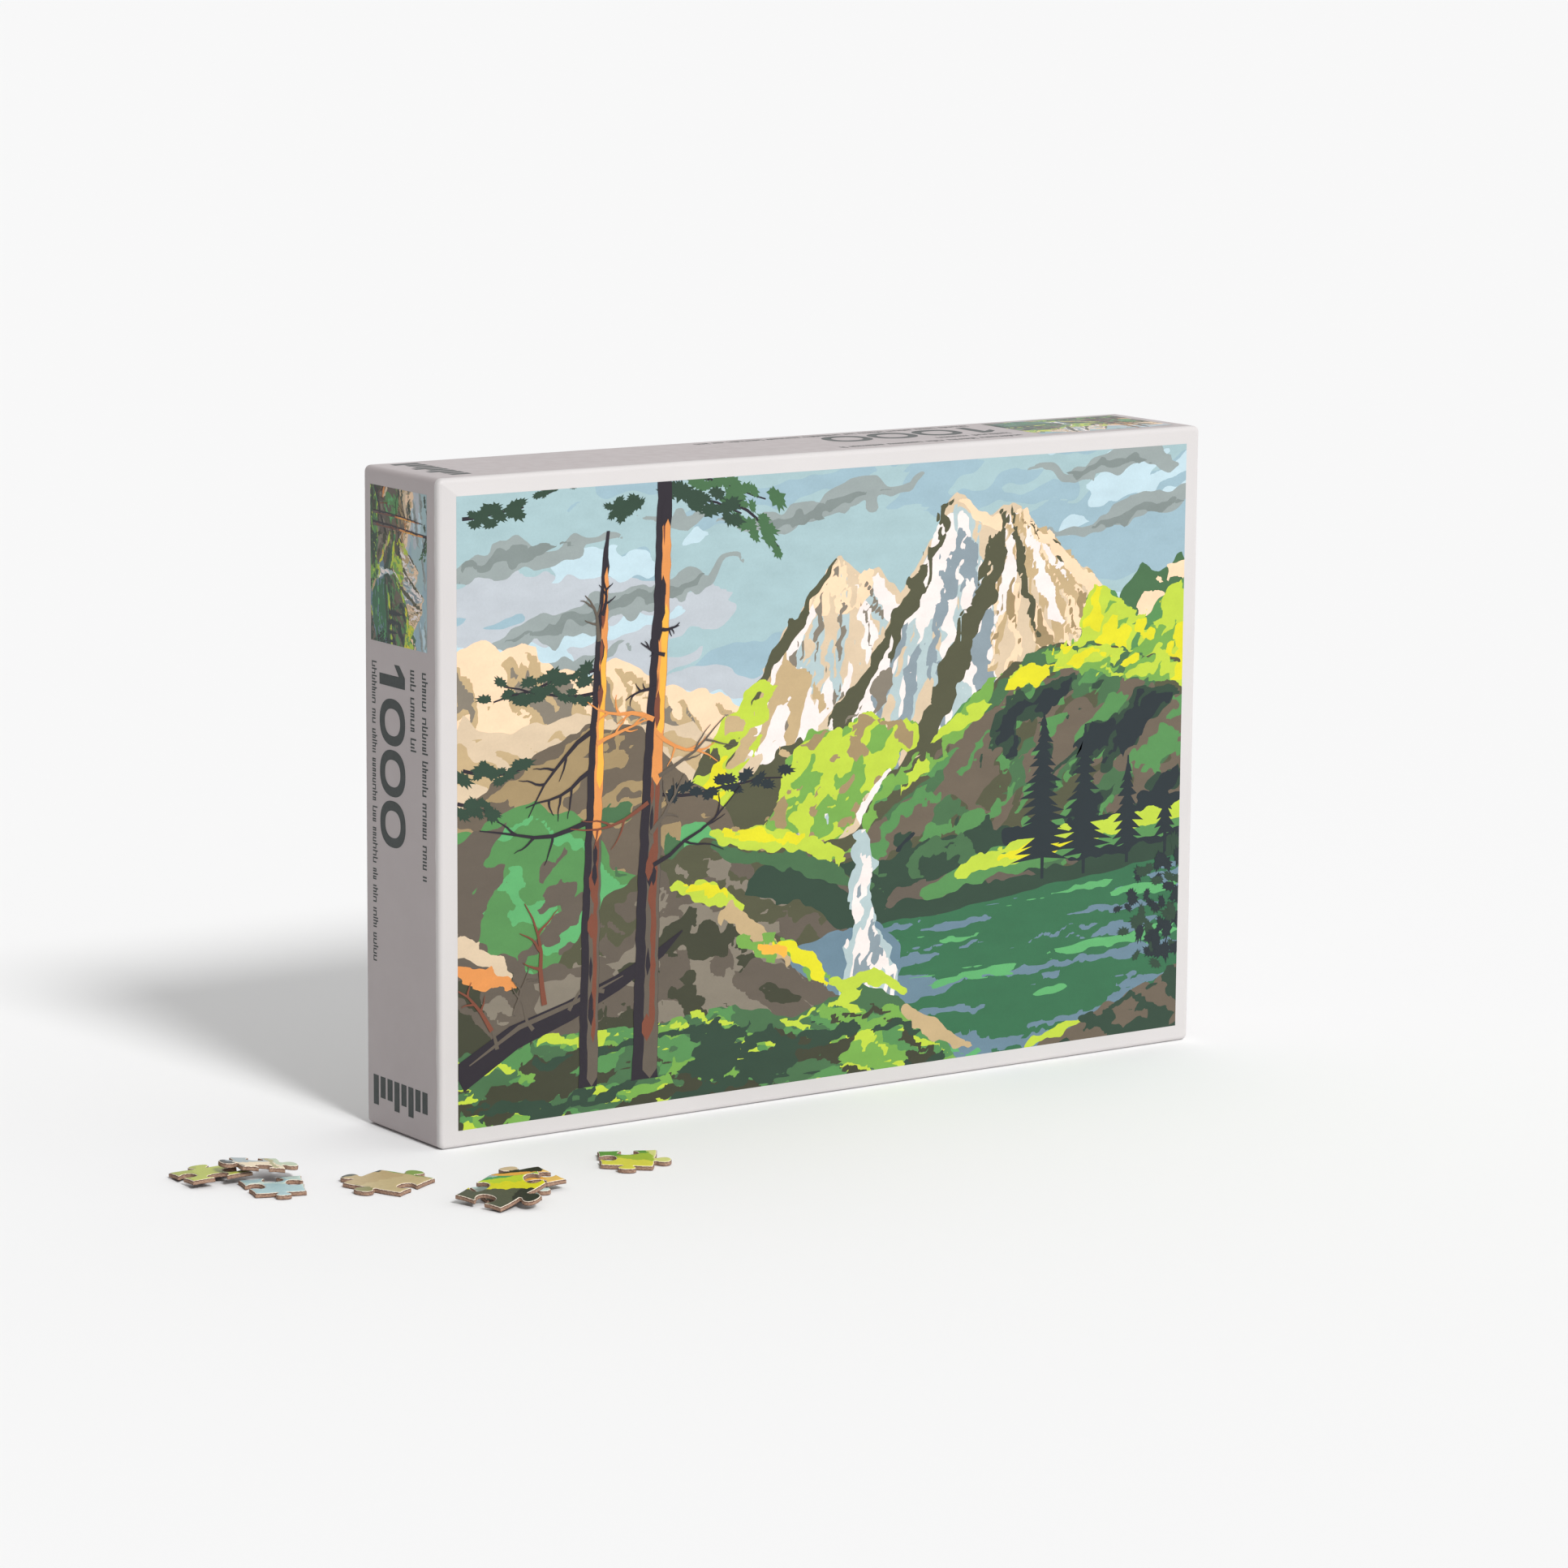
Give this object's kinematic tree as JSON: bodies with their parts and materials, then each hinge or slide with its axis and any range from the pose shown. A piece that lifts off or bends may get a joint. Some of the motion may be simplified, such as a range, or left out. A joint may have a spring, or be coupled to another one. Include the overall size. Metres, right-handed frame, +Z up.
{
  "type": "boxed jigsaw puzzle",
  "caption": "Flat telescoping box standing on its long edge, with a printed lid, a tray that slides out of its back, a bag of die-cut pieces and loose pieces lying in front.",
  "frame": {"origin": "centre of the narrow face that the box stands on", "axes": "+X along the width of the box, +Y from the printed face to the back, +Z up"},
  "size_m": [0.3786, 0.1226, 0.207],
  "materials": {
    "printed_wrap": "smooth coated paper, soft sheen",
    "plain_wrap": "uncoated white paper, matte",
    "greyboard": "matte recycled board with visible fibres",
    "corner_tape": "matte brown gummed paper",
    "bag_film": "clear thin film, glossy and crinkled",
    "bagged_pieces": "printed board, mixed colours",
    "piece_green": "printed board, soft gloss on top",
    "piece_khaki": "printed board, soft gloss on top",
    "piece_sky": "printed board, soft gloss on top",
    "piece_lime": "printed board, soft gloss on top",
    "piece_cream": "printed board, soft gloss on top",
    "piece_mist": "printed board, soft gloss on top",
    "piece_orange": "printed board, soft gloss on top",
    "piece_olive": "printed board, soft gloss on top"
  },
  "bodies": {
    "lid": {"lid_board": "greyboard", "lid_wrap": "printed_wrap", "lid_lower_left_corner_stay": "corner_tape", "lid_lower_right_corner_stay": "corner_tape", "lid_upper_left_corner_stay": "corner_tape", "lid_upper_right_corner_stay": "corner_tape"},
    "tray": {"tray_board": "greyboard", "tray_wrap": "plain_wrap", "tray_lower_left_corner_stay": "corner_tape", "tray_lower_right_corner_stay": "corner_tape", "tray_upper_left_corner_stay": "corner_tape", "tray_upper_right_corner_stay": "corner_tape"},
    "bag": {"puzzle_bag": "bag_film", "piece_heap": "bagged_pieces", "bagged_piece_01": "bagged_pieces", "bagged_piece_02": "bagged_pieces", "bagged_piece_03": "bagged_pieces", "bagged_piece_04": "bagged_pieces", "bagged_piece_05": "bagged_pieces", "bagged_piece_06": "bagged_pieces", "bagged_piece_07": "bagged_pieces", "bagged_piece_08": "bagged_pieces", "bagged_piece_09": "bagged_pieces", "bagged_piece_10": "bagged_pieces", "bagged_piece_11": "bagged_pieces", "bagged_piece_12": "bagged_pieces", "bagged_piece_13": "bagged_pieces", "bagged_piece_14": "bagged_pieces", "bagged_piece_15": "bagged_pieces", "bagged_piece_16": "bagged_pieces"},
    "right_piece": {"loose_piece_right": "piece_green"},
    "middle_piece": {"loose_piece_middle": "piece_khaki"},
    "left_pile_bottom": {"left_pile_bottom_piece": "piece_sky"},
    "left_pile_middle": {"left_pile_middle_piece": "piece_lime"},
    "left_pile_top": {"left_pile_top_piece": "piece_cream"},
    "middle_pile_bottom": {"middle_pile_bottom_piece": "piece_mist"},
    "middle_pile_middle": {"middle_pile_middle_piece": "piece_orange"},
    "middle_pile_top": {"middle_pile_top_piece": "piece_olive"}
  },
  "joints": [
    {"name": "tray_slide", "type": "slide", "parent": "lid", "child": "tray", "axis": [0, 1, 0], "range_m": [0, 0.15]},
    {"name": "bag_slide", "type": "slide", "parent": "tray", "child": "bag", "axis": [0, -1, 0], "range_m": [0, 0.06]},
    {"name": "right_piece_lift", "type": "slide", "parent": "lid", "child": "right_piece", "axis": [0, 0, 1], "range_m": [0, 0.04]},
    {"name": "middle_piece_lift", "type": "slide", "parent": "lid", "child": "middle_piece", "axis": [0, 0, 1], "range_m": [0, 0.04]},
    {"name": "left_pile_bottom_lift", "type": "slide", "parent": "lid", "child": "left_pile_bottom", "axis": [0, 0, 1], "range_m": [0, 0.04]},
    {"name": "left_pile_middle_lift", "type": "slide", "parent": "left_pile_bottom", "child": "left_pile_middle", "axis": [0, 0, 1], "range_m": [0, 0.04]},
    {"name": "left_pile_top_lift", "type": "slide", "parent": "left_pile_middle", "child": "left_pile_top", "axis": [0, 0, 1], "range_m": [0, 0.04]},
    {"name": "middle_pile_bottom_lift", "type": "slide", "parent": "lid", "child": "middle_pile_bottom", "axis": [0, 0, 1], "range_m": [0, 0.04]},
    {"name": "middle_pile_middle_lift", "type": "slide", "parent": "middle_pile_bottom", "child": "middle_pile_middle", "axis": [0, 0, 1], "range_m": [0, 0.04]},
    {"name": "middle_pile_top_lift", "type": "slide", "parent": "middle_pile_middle", "child": "middle_pile_top", "axis": [0, 0, 1], "range_m": [0, 0.04]}
  ],
  "couplings": [
    {"joint": "bag_slide", "follows": "tray_slide", "ratio": 0.4}
  ]
}
